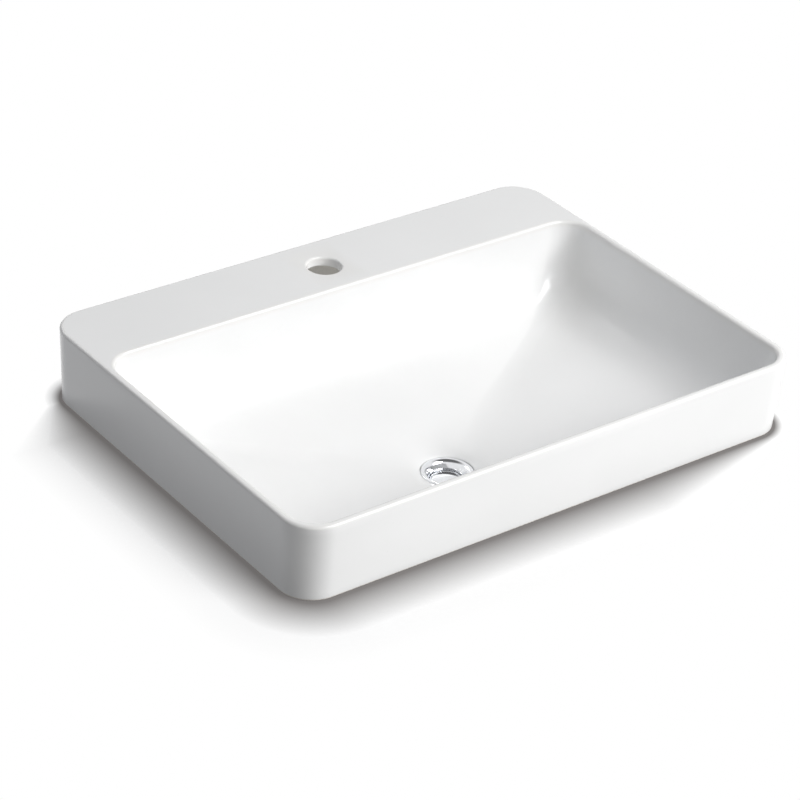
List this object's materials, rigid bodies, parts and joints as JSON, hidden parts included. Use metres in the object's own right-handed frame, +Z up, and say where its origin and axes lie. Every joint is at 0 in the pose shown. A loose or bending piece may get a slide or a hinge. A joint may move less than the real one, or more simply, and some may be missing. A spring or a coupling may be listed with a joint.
{
  "type": "countertop basin",
  "caption": "Rectangular white ceramic countertop basin with a tap deck and tap hole, its bowl dropping through the counter to a sprung chrome waste with tail pipe.",
  "frame": {"origin": "middle of the footprint, on the top of the counter that the apron stands on", "axes": "+X along the basin's length, -Y towards the user, +Z up"},
  "size_m": [0.5898, 0.4328, 0.3237],
  "materials": {
    "ceramic": "gloss glaze",
    "chrome": "polished plate",
    "brass": "turned",
    "steel": "drawn wire",
    "rubber": "moulded",
    "white_plastic": "moulded",
    "dark_plastic": "moulded"
  },
  "bodies": {
    "basin": {"basin_body": "ceramic", "waste_body": "chrome", "flange_seal": "rubber", "tapered_gasket": "rubber", "slip_washer": "white_plastic", "back_nut": "brass", "tail_nut": "chrome", "tail_seal": "rubber", "tail_pipe": "chrome", "cartridge_sleeve": "dark_plastic", "cartridge_collar": "white_plastic", "return_spring": "steel"},
    "stopper": {"stopper_cap": "chrome", "stopper_core": "dark_plastic", "stopper_seal": "rubber", "stem_nut": "brass", "plunger": "brass"},
    "rotor": {"latch_rotor": "white_plastic"}
  },
  "joints": [
    {"name": "stopper_lift", "type": "slide", "parent": "basin", "child": "stopper", "axis": [0, 0, 1], "range_m": [0, 0.01], "deforming": ["return_spring"]},
    {"name": "latch_turn", "type": "hinge", "parent": "stopper", "child": "rotor", "pos_m": [0, -0.0505, -0.087], "axis": [0, 0, 1], "range_deg": [0, 60]}
  ],
  "couplings": [
    {"joint": "latch_turn", "follows": "stopper_lift", "rad_per_m": 104.72}
  ]
}
